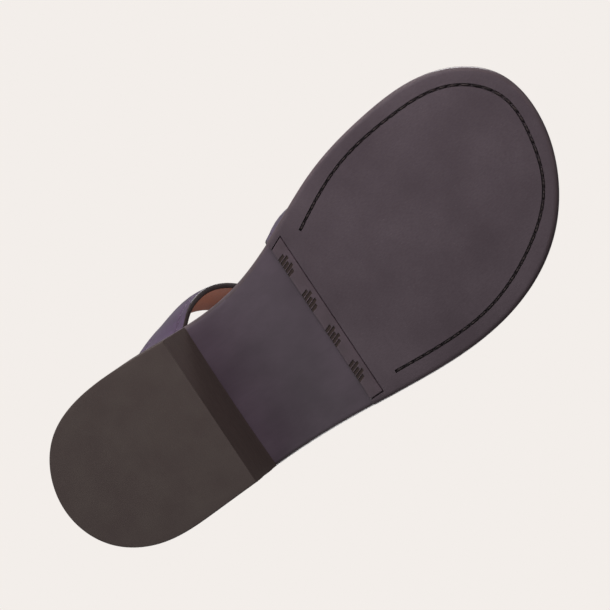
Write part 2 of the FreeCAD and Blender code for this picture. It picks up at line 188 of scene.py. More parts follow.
# Stitches, as (pitch, length, radius).
STRAP_STITCH = (3.1, 2.5, 0.27)
SOLE_STITCH = (4.6, 4.2, 0.46)
BOX_STITCH = (2.8, 2.2, 0.3)
STITCH_SUNK = 0.02
THREAD_GAP = 0.1
BOX_STITCH_HALF = 5.6
BOX_STITCH_TURN = math.radians(30.0)

HALF_SPAN = STRAP_SPAN / 2.0
STITCH_LINE = 4.0
SEAM_AT = HALF_SPAN - STITCH_LINE
LEATHER_GAP = 0.02
STRAP_EDGE_REACH = 0.7
STRAP_EDGE_DROP = 0.6
LINING_EDGE_DROP = 0.4
STRAP_CROWN = 0.35
STITCH_PULL = 0.22
STITCH_PULL_REACH = 0.4
STEM_CROWN = 0.3
STEM_SEAM_AT = 0.62
STEM_SEAM_OVER = 0.12

NOISE_ROUGHNESS = 0.6
BACKGROUND = (243, 238, 234)
FLOOR_GLOW = 0.6
FLOOR_HALF = 6.0
FLOOR_LEVEL = -0.0004


# ---- the sole's height ----


def sole_height(y):
    """Height of the outsole's underside: level under the heel, down the waist, up at the toe."""
    t = np.clip((y - BREAST_TOP_Y) / (WAIST_FRONT_Y - BREAST_TOP_Y), 0.0, 1.0)
    waist = HEEL_HEIGHT + (HALF_SOLE - HEEL_HEIGHT) * (3.0 * t**2 - 2.0 * t**3)
    rise = np.clip((y - TREAD_END_Y) / (HALF_LENGTH - TREAD_END_Y), 0.0, None)
    return waist + TOE_SPRING * rise**2


def level_ground(y):
    return 0.0 * y


def leaned_back(y, level):
    """The station of a point whose layer leans back with the rising toe. level is its height
    over the outsole's underside."""
    depth = HALF_LENGTH - TREAD_END_Y
    slope = 2.0 * TOE_SPRING * np.clip((y - TREAD_END_Y) / depth, 0.0, None) / depth
    return y - slope * (level + HALF_SOLE)


def breast_y(z):
    return BREAST_FOOT_Y + (BREAST_TOP_Y - BREAST_FOOT_Y) * z / HEEL_HEIGHT


def board_level(y):
    return float(sole_height(y)) + BOARD_BASE


# ---- curves ----


def knot_slopes(points, gaps, closed):
    """Slopes at the points of the smooth cubic curve through them."""
    count = len(points)
    matrix = np.zeros((count, count))
    right = np.zeros_like(points)
    for i in range(count):
        if not closed and i in (0, count - 1):
            near = min(i, count - 2)
            matrix[i, i] = 2.0
            matrix[i, 1 if i == 0 else count - 2] = 1.0
            right[i] = 3.0 * (points[near + 1] - points[near]) / gaps[near]
            continue
        before = gaps[i - 1]
        after = gaps[i]
        ahead = (i + 1) % count
        matrix[i, i - 1] += 1.0 / before
        matrix[i, i] += 2.0 / before + 2.0 / after
        matrix[i, ahead] += 1.0 / after
        step_back = (points[i] - points[i - 1]) / before**2
        step_on = (points[ahead] - points[i]) / after**2
        right[i] = 3.0 * (step_back + step_on)
    return np.linalg.solve(matrix, right)


def curve_through(points, count, closed=False):
    """Evenly spaced points on a smooth curve through the given ones."""
    points = np.array(points, float)
    starts = points if closed else points[:-1]
    ends = np.roll(points, -1, axis=0) if closed else points[1:]
    gaps = np.linalg.norm(ends - starts, axis=1)
    slopes = knot_slopes(points, gaps, closed)
    next_slopes = np.roll(slopes, -1, axis=0) if closed else slopes[1:]
    t = np.linspace(0.0, 1.0, CURVE_POINTS, endpoint=False)[:, None]
    dense = []
    for a, b, gap, leave, arrive in zip(starts, ends, gaps, slopes, next_slopes):
        dense.append(
            (2 * t**3 - 3 * t**2 + 1) * a
            + (t**3 - 2 * t**2 + t) * gap * leave
            + (3 * t**2 - 2 * t**3) * b
            + (t**3 - t**2) * gap * arrive
        )
    dense = np.vstack(dense + [points[:1] if closed else points[-1:]])
    along = np.concatenate([[0.0], np.cumsum(np.linalg.norm(np.diff(dense, axis=0), axis=1))])
    even = np.linspace(0.0, along[-1], count, endpoint=not closed)
    return np.stack([np.interp(even, along, dense[:, k]) for k in range(dense.shape[1])], axis=1)


def unit(vectors):
    return vectors / np.linalg.norm(vectors, axis=-1, keepdims=True)


RIM = curve_through(OUTLINE, RIM_POINTS, closed=True)
RIM_ALONG = unit(np.roll(RIM, -1, axis=0) - np.roll(RIM, 1, axis=0))
RIM_INWARD = np.stack([-RIM_ALONG[:, 1], RIM_ALONG[:, 0]], axis=1)


def rim_inset(inset):
    """The outline moved inwards by a distance, or by one distance for each of its points."""
    return RIM + RIM_INWARD * np.reshape(inset, (-1, 1))


def outline_sides(outline):
    """The inner and outer sides of an outline, both from the heel to the toe."""
    turned = np.roll(outline, -int(outline[:, 1].argmin()), axis=0)
    top = int(turned[:, 1].argmax())
    return turned[: top + 1], np.vstack([turned[top:], turned[:1]])[::-1]


RIM_INNER, RIM_OUTER = outline_sides(RIM)


def rim_x(y, inside):
    side = RIM_INNER if inside else RIM_OUTER
    return np.interp(y, side[:, 1], side[:, 0])


# ---- meshes ----


def band_faces(first, second):
    """Quads between two closed loops of point numbers."""
    return list(zip(first, np.roll(first, -1), np.roll(second, -1), second))


def grid_faces(rows, columns, start=0, wrap=False):
    """Quads over a grid of points that are numbered row by row."""
    faces = []
    for i in range(rows - 1):
        for j in range(columns if wrap else columns - 1):
            a = start + i * columns + j
            b = start + i * columns + (j + 1) % columns
            faces.append((a, b, b + columns, a + columns))
    return faces


def make_object(name, points, faces, materials):
    """An object from points in millimetres, with coincident points merged."""
    mesh = bpy.data.meshes.new(name)
    mesh.from_pydata([tuple(p) for p in np.asarray(points) * MM], [], faces)
    work = bmesh.new()
    work.from_mesh(mesh)
    bmesh.ops.remove_doubles(work, verts=work.verts, dist=SAME_POINT)
    bmesh.ops.dissolve_degenerate(work, edges=work.edges, dist=NO_LENGTH)
    bmesh.ops.recalc_face_normals(work, faces=work.faces)
    work.to_mesh(mesh)
    work.free()
    obj = bpy.data.objects.new(name, mesh)
    bpy.context.scene.collection.objects.link(obj)
    for material in materials:
        mesh.materials.append(material)
    soften(obj)
    return obj


def soften(obj):
    """Smooth shading that keeps true edges sharp."""
    obj.data.polygons.foreach_set("use_smooth", [True] * len(obj.data.polygons))
    obj.data.set_sharp_from_angle(angle=SHARP_ANGLE)


def finish_piece(obj, slot, *nodes):
    """Fixes a piece to the sandal and hides the CAD nodes it stands for."""
    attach(obj, "root")
    if nodes:
        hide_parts(*nodes)


def paint(obj, index, test):
    """Gives another of the object's materials to the faces whose centre and normal pass."""
    for face in obj.data.polygons:
        if test(face.center / MM, face.normal):
            face.material_index = index


def facing_aside(limit):
    """A test for faces that look less straight down than a limit."""
    return lambda centre, normal: normal.z > -limit


def cut_away(obj, points, faces):
    """Cuts a closed shape out of an object."""
    cutter = make_object("cutter", points, faces, [])
    modifier = obj.modifiers.new("cut", "BOOLEAN")
    modifier.operation = "DIFFERENCE"
    modifier.solver = "EXACT"
    modifier.object = cutter
    evaluated = obj.evaluated_get(bpy.context.evaluated_depsgraph_get())
    mesh = bpy.data.meshes.new_from_object(evaluated)
    obj.modifiers.clear()
    obj.data = mesh
    bpy.data.objects.remove(cutter)
    soften(obj)


# ---- layers of the sole ----


def layer_grid(ring, rows, columns, height, swell):
    """Points over one level of the sole, as rows across it from the heel to the toe."""
    inset, level, y_low, y_high = ring
    inner, outer = outline_sides(rim_inset(inset))
    low = max(inner[0, 1], y_low)
    high = min(inner[-1, 1], y_high)
    turn = np.linspace(0.0, math.pi, rows + 1)
    y = (low + high) / 2.0 - (high - low) / 2.0 * np.cos(turn)
    inner_x = np.interp(y, inner[:, 1], inner[:, 0])
    outer_x = np.interp(y, outer[:, 1], outer[:, 0])
    share = np.linspace(0.0, 1.0, columns + 1)[None, :]
    x = inner_x[:, None] + (outer_x - inner_x)[:, None] * share
    yy = np.repeat(y[:, None], columns + 1, axis=1)
    z = height(yy) + level
    if swell:
        z = z + swell(share, yy)
    return np.stack([x, leaned_back(yy, level), z], axis=2)


def border(rows, columns):
    """Numbers of a grid's outer points, in order round it."""
    number = np.arange((rows + 1) * (columns + 1)).reshape(rows + 1, columns + 1)
    return np.concatenate([
        number[:, 0], number[-1, 1:-1], number[::-1, -1], number[0, -2:0:-1],
    ])


def sole_layer(name, rings, materials, rows=SOLE_ROWS, height=sole_height, under=None, over=None):
    """A slice of the sole through rings of (inset, level, lowest y, highest y), from its
    lower face's rim out, up and in to its upper face's rim."""
    edge = border(rows, SOLE_COLUMNS)
    points = []
    faces = []
    last = len(rings) - 1
    earlier = None
    for number, ring in enumerate(rings):
        swell = under if number == 0 else over if number == last else None
        grid = layer_grid(ring, rows, SOLE_COLUMNS, height, swell).reshape(-1, 3)
        start = len(points)
        if number in (0, last):
            points.extend(grid)
            faces += grid_faces(rows + 1, SOLE_COLUMNS + 1, start)
            loop = start + edge
        else:
            points.extend(grid[edge])
            loop = start + np.arange(len(edge))
        if earlier is not None:
            faces += band_faces(earlier, loop)
        earlier = loop
    return make_object(name, points, faces, materials)


def quarter(size_in, size_up):
    """A rounded edge as (inset, rise) pairs, from the flat face to the wall."""
    pairs = []
    for number in range(EDGE_STEPS + 1):
        turn = math.pi / 2.0 * number / EDGE_STEPS
        pairs.append((size_in * (1.0 - math.sin(turn)), size_up * (1.0 - math.cos(turn))))
    return pairs


def rounded_rings(low, high, inset, lower, upper, y_low=-FAR, front=None):
    """Rings of a slice with rounded edges. lower and upper are those edges' (inset, rise)
    sizes. front gives the highest y at a level, for a slice that stops short of the toe."""
    steps = [(inset + step_in, low + rise) for step_in, rise in quarter(*lower)]
    steps += [(inset + step_in, high - rise) for step_in, rise in reversed(quarter(*upper))]
    return [(step, level, y_low, front(level) if front else FAR) for step, level in steps]


def smooth_step(value, low, high):
    t = np.clip((value - low) / (high - low), 0.0, 1.0)
    return t * t * (3.0 - 2.0 * t)


def waist_share(y):
    """1 over the polished waist, 0 under the heel and under the half sole."""
    rear = smooth_step(y, BREAST_TOP_Y - BEVEL_FADE, BREAST_TOP_Y)
    front = smooth_step(y, STRIP_REAR, STRIP_REAR + BEVEL_FADE)
    return rear * (1.0 - front)


def build_heel(top_materials, lift_materials):
    """The top lift and the three lifts above it, each a little out of line."""
    rings = rounded_rings(0.0, TOP_LIFT, 0.0, TOP_LIFT_LOWER_EDGE, TOP_LIFT_UPPER_EDGE,
                          front=breast_y)
    lift = sole_layer("top_lift_leather", rings, top_materials, HEEL_ROWS, level_ground)
    paint(lift, 1, facing_aside(SOLE_UNDERSIDE))
    finish_piece(lift, "top_lift", "top_lift")
    each = (HEEL_HEIGHT - TOP_LIFT) / len(LIFTS)
    for number, (name, inset) in enumerate(LIFTS):
        low = TOP_LIFT + number * each
        rings = rounded_rings(low, low + each, inset, LIFT_EDGE, LIFT_EDGE, front=breast_y)
        piece = sole_layer(name + "_leather", rings, lift_materials, HEEL_ROWS, level_ground)
        finish_piece(piece, "heel_leather", name)


def build_outsole(materials):
    """The long sole, with a rounded edge and a slight crown along the waist."""
    bevel = BEVEL_IN * waist_share(RIM[:, 1])
    rings = [(bevel * step_in, rise, -FAR, FAR) for step_in, rise in quarter(1.0, BEVEL_UP)]
    rings.append((0.0, MIDSOLE_BASE - SEAM_EDGE[1], -FAR, FAR))
    rings.append((SEAM_EDGE[0], MIDSOLE_BASE, -FAR, FAR))

    def crown(share, y):
        return -WAIST_CROWN * (1.0 - (2.0 * share - 1.0) ** 2) * waist_share(y)

    piece = sole_layer("outsole_leather", rings, materials, under=crown)
    paint(piece, 1, facing_aside(SOLE_UNDERSIDE))
    finish_piece(piece, "waist_leather", "outsole")


def build_midsole(materials):
    rings = rounded_rings(MIDSOLE_BASE, BOARD_BASE, 0.0, SEAM_EDGE, MIDSOLE_UPPER_EDGE)
    piece = sole_layer("midsole_leather", rings, materials)
    finish_piece(piece, "midsole_leather", "midsole")


def build_insole_board(materials):
    rings = rounded_rings(BOARD_BASE, FOAM_BASE, FOOTBED_INSET, BROKEN_EDGE, BROKEN_EDGE)
    piece = sole_layer("insole_board_edge", rings, materials)
    finish_piece(piece, "board", "insole_board")


def footbed_dish(share, y):
    """The footbed is pressed a little hollow under the heel, the ball and the toes."""
    across = np.clip(1.0 - (2.0 * share - 1.0) ** 2, 0.0, None)
    return -across * sum(
        depth * np.exp(-(((y - middle) / reach) ** 2)) for middle, reach, depth in HOLLOWS
    )


def build_footbed(materials):
    """The padded leather footbed, with a soft rounded edge."""
    rings = rounded_rings(FOAM_BASE, FOOTBED_TOP, FOOTBED_INSET, BROKEN_EDGE, FOOTBED_EDGE)
    piece = sole_layer("footbed_leather", rings, materials, over=footbed_dish)
    finish_piece(piece, "footbed_leather", "footbed_cover")


def build_foam(materials):
    """The foam pad that fills the footbed's leather cover."""
    inset = FOOTBED_INSET + COVER
    low = FOAM_BASE + GLUE_LINE
    rings = rounded_rings(low, FOOTBED_TOP - COVER, inset, FOAM_EDGE, FOAM_EDGE)
    piece = sole_layer("footbed_foam_pad", rings, materials, over=footbed_dish)
    finish_piece(piece, "foam", "footbed_foam")


# ---- half sole, channel and strip ----


def swept_box(path, half_width, low, high):
    """A box section along a level path, whose lower and upper heights follow the sole."""
    along = unit(np.gradient(path, axis=0))
    aside = np.stack([-along[:, 1], along[:, 0]], axis=1) * half_width
    left = path + aside
    right = path - aside
    points = []
    for a, b in zip(left, right):
        for corner, level in ((a, low), (b, low), (b, high), (a, high)):
            points.append((corner[0], corner[1], float(sole_height(corner[1])) + level))
    faces = grid_faces(len(path), 4, wrap=True)
    end = len(points) - 4
    faces += [(0, 1, 2, 3), (end + 3, end + 2, end + 1, end)]
    return points, faces


def strip_block(grow, low, high):
    """The strip's outline, grown by a margin, between two levels."""
    middle = (STRIP_REAR + STRIP_FRONT) / 2.0
    points = []
    for level in (low, high):
        for x, y in STRIP_CORNERS:
            x += math.copysign(grow, x)
            y += math.copysign(grow, y - middle)
            points.append((x, y, float(sole_height(y)) + level))
    faces = [(3, 2, 1, 0), (4, 5, 6, 7)]
    faces += [(i, (i + 1) % 4, 4 + (i + 1) % 4, 4 + i) for i in range(4)]
    return points, faces


def build_half_sole(materials):
    """The thin tread leather, with a rounded edge, the stitch channel and the strip's
    pocket."""
    rings = rounded_rings(-HALF_SOLE, 0.0, 0.0, (BEVEL_IN, BEVEL_UP), BROKEN_EDGE, STRIP_REAR)
    piece = sole_layer("half_sole_leather", rings, materials)
    channel = curve_through(CHANNEL, CHANNEL_ROWS)
    below = -HALF_SOLE - CUT_PAST
    cut_away(piece, *swept_box(channel, CHANNEL_WIDTH / 2.0, below, -HALF_SOLE + CHANNEL_DEPTH))
    cut_away(piece, *strip_block(STRIP_GAP, below, -HALF_SOLE + STRIP_DEPTH))
    paint(piece, 1, facing_aside(TREAD_UNDERSIDE))
    # The faces inside the channel and the strip's pocket get near-black painted shade.
    paint(piece, 2, in_a_cut)
    finish_piece(piece, "half_sole_leather", "half_sole")


def in_a_cut(centre, normal):
    """True for a face of the channel or of the strip's pocket: away from the rim, and under
    the half sole's top."""
    if normal.z <= -TREAD_UNDERSIDE:
        return False
    from_rim = np.linalg.norm(RIM - np.array([centre[0], centre[1]]), axis=1).min()
    level = centre[2] - float(sole_height(centre[1]))
    return from_rim > CUT_FROM_RIM and level < -CUT_UNDER_TOP


def bar_mask(x, y):
    """1 inside the tooled slanted bars of the strip, 0 outside."""
    ahead = y - STRIP_REAR
    mask = np.zeros_like(x)
    for group in range(BAR_GROUPS):
        middle = FIRST_GROUP_X - GROUP_PITCH * group
        for number in range(BARS):
            bar_x = middle + (number - (BARS - 1) / 2.0) * BAR_PITCH
            length = BAR_LENGTHS[number % 2]
            slanted = x - bar_x - (ahead - BAR_MIDDLE) * BAR_SLANT
            across = 1.0 - smooth_step(np.abs(slanted), *BAR_HALF_WIDTH)
            along = 1.0 - smooth_step(ahead, length, length + BAR_END)
            mask = np.maximum(mask, across * along)
    return mask


def rounded_edge(distance, reach, depth):
    """How far a surface falls away at a distance from its edge, rounded over a reach."""
    near = np.clip(distance / reach, 0.0, 1.0)
    return depth * (1.0 - np.sqrt(1.0 - (1.0 - near) ** 2))


def build_strip(materials):
    """The inlaid strip, with four groups of tooled slanted bars."""
    inner_rear, inner_front, outer_front, outer_rear = STRIP_CORNERS
    ahead = np.linspace(0.0, 1.0, STRIP_ROWS + 1)[:, None]
    share = np.linspace(0.0, 1.0, STRIP_COLUMNS + 1)[None, :]
    start = inner_rear[0] + (inner_front[0] - inner_rear[0]) * ahead
    end = outer_rear[0] + (outer_front[0] - outer_rear[0]) * ahead
    x = start + (end - start) * share
    y = STRIP_REAR + (STRIP_FRONT - STRIP_REAR) * ahead + 0.0 * share
    to_side = np.minimum(y - STRIP_REAR, STRIP_FRONT - y)
    to_end = np.minimum(x - end, start - x)
    rounding = rounded_edge(np.minimum(to_side, to_end), *STRIP_EDGE)
    z = sole_height(y) - HALF_SOLE + STRIP_SUNK + rounding + BAR_DEPTH * bar_mask(x, y)
    lower = np.stack([x, y, z], axis=2).reshape(-1, 3)
    loop = border(STRIP_ROWS, STRIP_COLUMNS)
    upper = lower[loop].copy()
    upper[:, 2] = sole_height(upper[:, 1]) - HALF_SOLE + STRIP_DEPTH
    top = len(lower) + np.arange(len(upper))
    faces = grid_faces(STRIP_ROWS + 1, STRIP_COLUMNS + 1) + band_faces(loop, top) + [tuple(top)]
    points = np.vstack([lower, upper])
    piece = make_object("transition_strip_leather", points, faces, materials)

    def in_bar(centre, normal):
        value = bar_mask(np.array([centre[0]]), np.array([centre[1]]))[0]
        return value > 0.35 and normal.z < -0.3

    paint(piece, 1, in_bar)
    finish_piece(piece, "strip_leather", "transition_strip")


# ---- stitches ----


def add_stitch(points, faces, centre, along, up, length, radius):
    """One stitch: a short rounded thread that dips at both ends, where it is a fifth as
    thick."""
    around, steps = 8, 7
    aside = np.cross(up, along)
    start = len(points)
    for i in range(steps + 1):
        t = 2.0 * i / steps - 1.0
        size = radius * math.sqrt(max(0.04, 1.0 - t**4))
        dip = -radius * 1.1 * t**4
        for j in range(around):
            turn = 2.0 * math.pi * j / around
            ring = aside * math.cos(turn) * size + up * (math.sin(turn) * size + dip)
            points.append(centre + along * (t * length / 2.0) + ring)
    faces += grid_faces(steps + 1, around, start, wrap=True)
    faces.append(tuple(range(start, start + around)))
    end = start + steps * around
    faces.append(tuple(range(end + around - 1, end - 1, -1)))


def stitch_row(points, faces, path, ups, pitch, length, radius):
    """Stitches end to end along a path."""
    gaps = np.linalg.norm(np.diff(path, axis=0), axis=1)
    along = np.concatenate([[0.0], np.cumsum(gaps)])
    count = int(along[-1] / pitch)
    places = (np.arange(count) + 0.5) * along[-1] / count
    tangents = unit(np.gradient(path, axis=0))
    for place in places:
        centre, direction, up = (
            np.array([np.interp(place, along, values[:, k]) for k in range(3)])
            for values in (path, tangents, ups)
        )
        direction = direction / np.linalg.norm(direction)
        up = up - direction * up.dot(direction)
        add_stitch(points, faces, centre, direction, up / np.linalg.norm(up), length, radius)


def sew(name, rows, stitch, material, slot, *nodes):
    """One piece of stitches along rows, each a path and the directions up from it."""
    points, faces = [], []
    for path, ups in rows:
        stitch_row(points, faces, path, ups, *stitch)
    finish_piece(make_object(name, points, faces, [material]), slot, *nodes)


def build_channel_thread(material):
    """The lock stitches that lie in the half sole's channel."""
    flat = curve_through(CHANNEL, THREAD_ROWS)
    level = sole_height(flat[:, 1]) - HALF_SOLE + CHANNEL_DEPTH - SOLE_STITCH[2] - THREAD_GAP
    path = np.column_stack([flat, level])
    ups = np.tile([0.0, 0.0, -1.0], (len(path), 1))
    sew("channel_thread_stitches", [(path, ups)], SOLE_STITCH, material, "sole_thread",
        "channel_thread")


def build_footbed_stitches(material):
    """A row of stitches round the footbed, set in from its edge."""
    flat = rim_inset(FOOTBED_INSET + STITCH_LINE)
    level = sole_height(flat[:, 1]) + FOOTBED_TOP
    stations = leaned_back(flat[:, 1], FOOTBED_TOP)
    path = np.column_stack([flat[:, 0], stations, level - STITCH_SUNK])
    path = np.vstack([path, path[:1]])
    ups = np.tile([0.0, 0.0, 1.0], (len(path), 1))
    sew("footbed_stitches", [(path, ups)], STRAP_STITCH, material, "strap_thread")


# ---- straps ----


def foot_x(y, inside):
    """Where a strap's inner face stands beside the footbed."""
    slope = (rim_x(y + 1.0, inside) - rim_x(y - 1.0, inside)) / 2.0
    inset = (FOOTBED_INSET - STRAP_CLEARANCE) * math.sqrt(1.0 + slope**2)
    return rim_x(y, inside) - inset if inside else rim_x(y, inside) + inset


def swelling(y):
    """How far the foot form swells past the footbed's inner edge."""
    return sum(
        depth * math.exp(-(((y - middle) / reach) ** 2)) for depth, middle, reach in SWELLINGS
    )


def form_point(share, y, lift):
    """A point over the foot form that the straps arch over."""
    travel = (y - REAR_Y) / (FRONT_Y - REAR_Y)
    inner_base = foot_x(y, True)
    inner = inner_base + swelling(y)
    outer = foot_x(y, False)
    middle = (inner + outer) / 2.0
    half_width = (inner - outer) / 2.0
    base_turn = math.acos((inner_base - middle) / half_width)
    rise = REAR_RISE + (FRONT_RISE - REAR_RISE) * travel
    half_height = rise / (1.0 + math.sin(base_turn))
    above_board = FOOTBED_TOP - BOARD_BASE
    rear_base = board_level(REAR_Y) + above_board
    front_base = board_level(FRONT_Y) + above_board
    base = rear_base + (front_base - rear_base) * travel
    centre = base + half_height * math.sin(base_turn)
    turn = -base_turn + (math.pi + base_turn) * share
    raised = lift * (1.0 - (1.0 - math.sin(math.pi * share)) ** 3)
    outward = unit(np.array([math.cos(turn) / half_width, 0.0, math.sin(turn) / half_height]))
    on_form = np.array([
        middle + half_width * math.cos(turn), y, centre + half_height * math.sin(turn),
    ])
    return on_form + outward * raised


def strap_line(starts_inside, lift, offset, count):
    """The strap's inner face along one line at a distance from its middle, from foot to
    foot."""
    travel = FRONT_Y - REAR_Y
    rear = REAR_Y + offset
    front = FRONT_Y + offset
    keys = []
    for drop in (STRAP_TUCK, 0.0):
        keys.append((foot_x(rear, starts_inside), rear, board_level(REAR_Y) - drop))
    for number in range(ARCH_STEPS + 1):
        share = number / ARCH_STEPS
        narrowed = offset * (1.0 - STRAP_TAPER * math.sin(math.pi * share))
        y = REAR_Y + narrowed + travel * OVER_SHARE * share
        if not starts_inside:
            y += travel * (1.0 - OVER_SHARE)
            share = 1.0 - share
        keys.append(form_point(share, y, lift))
    for drop in (0.0, STRAP_TUCK):
        keys.append((foot_x(front, not starts_inside), front, board_level(FRONT_Y) - drop))
    return curve_through(keys, count)


def strap_sweep(starts_inside, lift, section):
    """Points of a closed section carried along a strap. The section is a list of
    (distance from the strap's middle, depth over its inner face)."""
    columns = []
    normals = []
    for offset, depth in section:
        line = strap_line(starts_inside, lift, offset, STRAP_ROWS)
        beside = strap_line(starts_inside, lift, offset + 0.8, STRAP_ROWS)
        normal = unit(np.cross(np.gradient(line, axis=0), beside - line))
        if normal[STRAP_ROWS // 2, 2] < 0.0:
            normal = -normal
        columns.append(line + normal * depth)
        normals.append(normal)
    return np.stack(columns, axis=1), np.stack(normals, axis=1)


def tube_faces(rows, columns):
    """Faces of a closed section carried along rows, with both ends filled."""
    faces = grid_faces(rows, columns, wrap=True)
    faces.append(tuple(range(columns)))
    end = (rows - 1) * columns
    faces.append(tuple(range(end + columns - 1, end - 1, -1)))
    return faces


def swept_piece(name, grid, material, slot, *nodes):
    """A piece from the points of a closed section carried along rows."""
    faces = tube_faces(grid.shape[0], grid.shape[1])
    piece = make_object(name, grid.reshape(-1, 3), faces, [material])
    finish_piece(piece, slot, *nodes)


def strap_offsets():
    """Distances from the strap's middle at which its surface is drawn, closer together at
    the edge and at the stitch line."""
    right = [HALF_SPAN - step for step in (0.0, 0.08, 0.3, 0.7, 1.4)]
    right += [SEAM_AT + step for step in (1.0, 0.6, 0.3, 0.0, -0.3, -0.6, -1.0)]
    right += [SEAM_AT * share for share in (0.7, 0.35)]
    return [-value for value in right] + [0.0] + right[::-1]


def top_depth(offset):
    """Depth of the strap's outer face: rounded edge, pulled down stitch line, soft crown."""
    drop = rounded_edge(HALF_SPAN - abs(offset), STRAP_EDGE_REACH, STRAP_EDGE_DROP)
    pull = STITCH_PULL * math.exp(-(((abs(offset) - SEAM_AT) / STITCH_PULL_REACH) ** 2))
    crown = STRAP_CROWN * max(0.0, 1.0 - (offset / SEAM_AT) ** 2)
    return STRAP - drop - pull + crown


def outer_section():
    offsets = strap_offsets()
    return [(v, top_depth(v)) for v in offsets] + [(v, LINING) for v in reversed(offsets)]


def lining_section():
    offsets = strap_offsets()
    under = [(v, rounded_edge(HALF_SPAN - abs(v), STRAP_EDGE_REACH, LINING_EDGE_DROP))
             for v in offsets]
    return [(v, LINING - LEATHER_GAP) for v in offsets] + under[::-1]


def edge_bead(side, middle, half_width, margin, count):
    """The painted edge: a thin rounded bead over both leathers' cut edges, which ends a
    margin short of their faces."""
    section = []
    for number in range(count):
        turn = 2.0 * math.pi * number / count
        section.append((side * (middle + half_width * math.cos(turn)),
                        STRAP / 2.0 + (STRAP / 2.0 - margin) * math.sin(turn)))
    return section


def build_strap(node, starts_inside, lift, materials):
    """One strap: its outer leather, lining, painted edges and two rows of stitches."""
    bead = (HALF_SPAN - 0.1, 0.34, 0.06, 12)
    parts = (
        ("_patent", outer_section(), "outer", "strap_leather", (node + "_outer",)),
        ("_soft_lining", lining_section(), "lining", "strap_lining_leather",
         (node + "_lining",)),
        ("_rear_edge", edge_bead(-1.0, *bead), "edge", "strap_leather", ()),
        ("_front_edge", edge_bead(1.0, *bead), "edge", "strap_leather", ()),
    )
    for ending, section, finish, slot, nodes in parts:
        grid, _ = strap_sweep(starts_inside, lift, section)
        swept_piece(node + ending, grid, materials[finish], slot, *nodes)
    seams = [(offset, top_depth(offset)) for offset in (-SEAM_AT, SEAM_AT)]
    grid, normals = strap_sweep(starts_inside, lift, seams)
    rows = [(grid[:, column], normals[:, column]) for column in range(2)]
    sew(node + "_stitches", rows, STRAP_STITCH, materials["thread"], "strap_thread")


# ---- toe stem and toe post ----


def stem_sweep(path, section):
    """Points of a section carried along the stem. The section's first values are shares of
    the half width, its second ones depths over the underside."""
    along = unit(np.gradient(path, axis=0))
    aside = unit(np.stack([along[:, 1], -along[:, 0], 0.0 * along[:, 0]], axis=1))
    up = np.cross(aside, along)
    shares = np.linspace(0.0, 1.0, len(path))
    rows = []
    for point, right, over, share in zip(path, aside, up, shares):
        half = stem_width(share) / 2.0
        rows.append([point + right * (half * s) + over * d for s, d in section])
    return np.array(rows), up


def stem_width(share):
    return STEM_WIDE + (STEM_NARROW - STEM_WIDE) * smooth_step(share, 0.0, 1.0)


def stem_section(low, high, crown):
    """The stem's section, as shares of its half width and depths over its underside."""
    shares = [-1.0, -0.985, -0.94, -0.85, -0.7, -0.62, -0.5, -0.25, 0.0]
    shares += [-s for s in shares[-2::-1]]
    top = []
    for s in shares:
        drop = rounded_edge(1.0 - abs(s), 0.12, 0.5)
        top.append((s, high - drop * (1.0 if crown else 0.4) + crown * (1.0 - s * s)))
    return top + [(s, low) for s in reversed(shares)]


def build_stem(materials):
    """The strip from under the crossing to the toe post, in two leathers, stitched."""
    path = curve_through(STEM_PATH, STEM_ROWS)
    outer, _ = stem_sweep(path, stem_section(LINING, STRAP, STEM_CROWN))
    swept_piece("toe_stem_patent", outer, materials["outer"], "strap_leather", "toe_stem_outer")
    under, _ = stem_sweep(path, stem_section(0.0, LINING - LEATHER_GAP, 0.0))
    swept_piece("toe_stem_soft_lining", under, materials["lining"], "strap_lining_leather",
                "toe_stem_lining")
    points, faces, rows = [], [], []
    for side in (-1.0, 1.0):
        grid, _ = stem_sweep(path, edge_bead(side, 1.0, 0.03, 0.08, 10))
        start = len(points)
        points.extend(grid.reshape(-1, 3))
        tube = tube_faces(grid.shape[0], grid.shape[1])
        faces += [tuple(start + i for i in face) for face in tube]
        seam, ups = stem_sweep(path, [(side * STEM_SEAM_AT, STRAP + STEM_SEAM_OVER)])
        rows.append((seam[:, 0], ups))
    edge = make_object("toe_stem_edges", points, faces, [materials["edge"]])
    finish_piece(edge, "strap_leather")
    sew("toe_stem_stitches", rows, STRAP_STITCH, materials["thread"], "strap_thread")


def build_post(materials):
    """The rolled leather post, which leans over and flattens under the stem's end."""
    x, y = POST
    base = board_level(y)
    keys = [(x, y, base + rise) for rise in POST_UPRIGHT]
    keys += [(x - outward, y - backward, z) for outward, backward, z in POST_LEAN]
    path = curve_through(keys, POST_ROWS)
    along = unit(np.gradient(path, axis=0))
    side = unit(np.cross(along, POST_FLAT_DIRECTION))
    across = np.cross(side, along)
    around = 36
    points = []
    for number, centre in enumerate(path):
        share = number / (len(path) - 1)
        flat = smooth_step(share, 0.55, 1.0)
        wide = POST_RADIUS * (1.0 - 0.12 * flat)
        thin = POST_RADIUS * (1.0 - 0.72 * flat)
        for step in range(around):
            turn = 2.0 * math.pi * step / around
            seam = -0.28 * math.exp(-(((turn - 3.0) / 0.16) ** 2))
            ripple = 0.05 * math.sin(3.0 * turn + 40.0 * share) * math.sin(9.0 * share)
            points.append(
                centre + across[number] * math.cos(turn) * (wide + seam + ripple)
                + side[number] * math.sin(turn) * (thin + seam + ripple)
            )
    grid = np.reshape(points, (len(path), around, 3))
    swept_piece("toe_post_rolled_leather", grid, materials["post"], "post_leather",
                "toe_post_wrap")


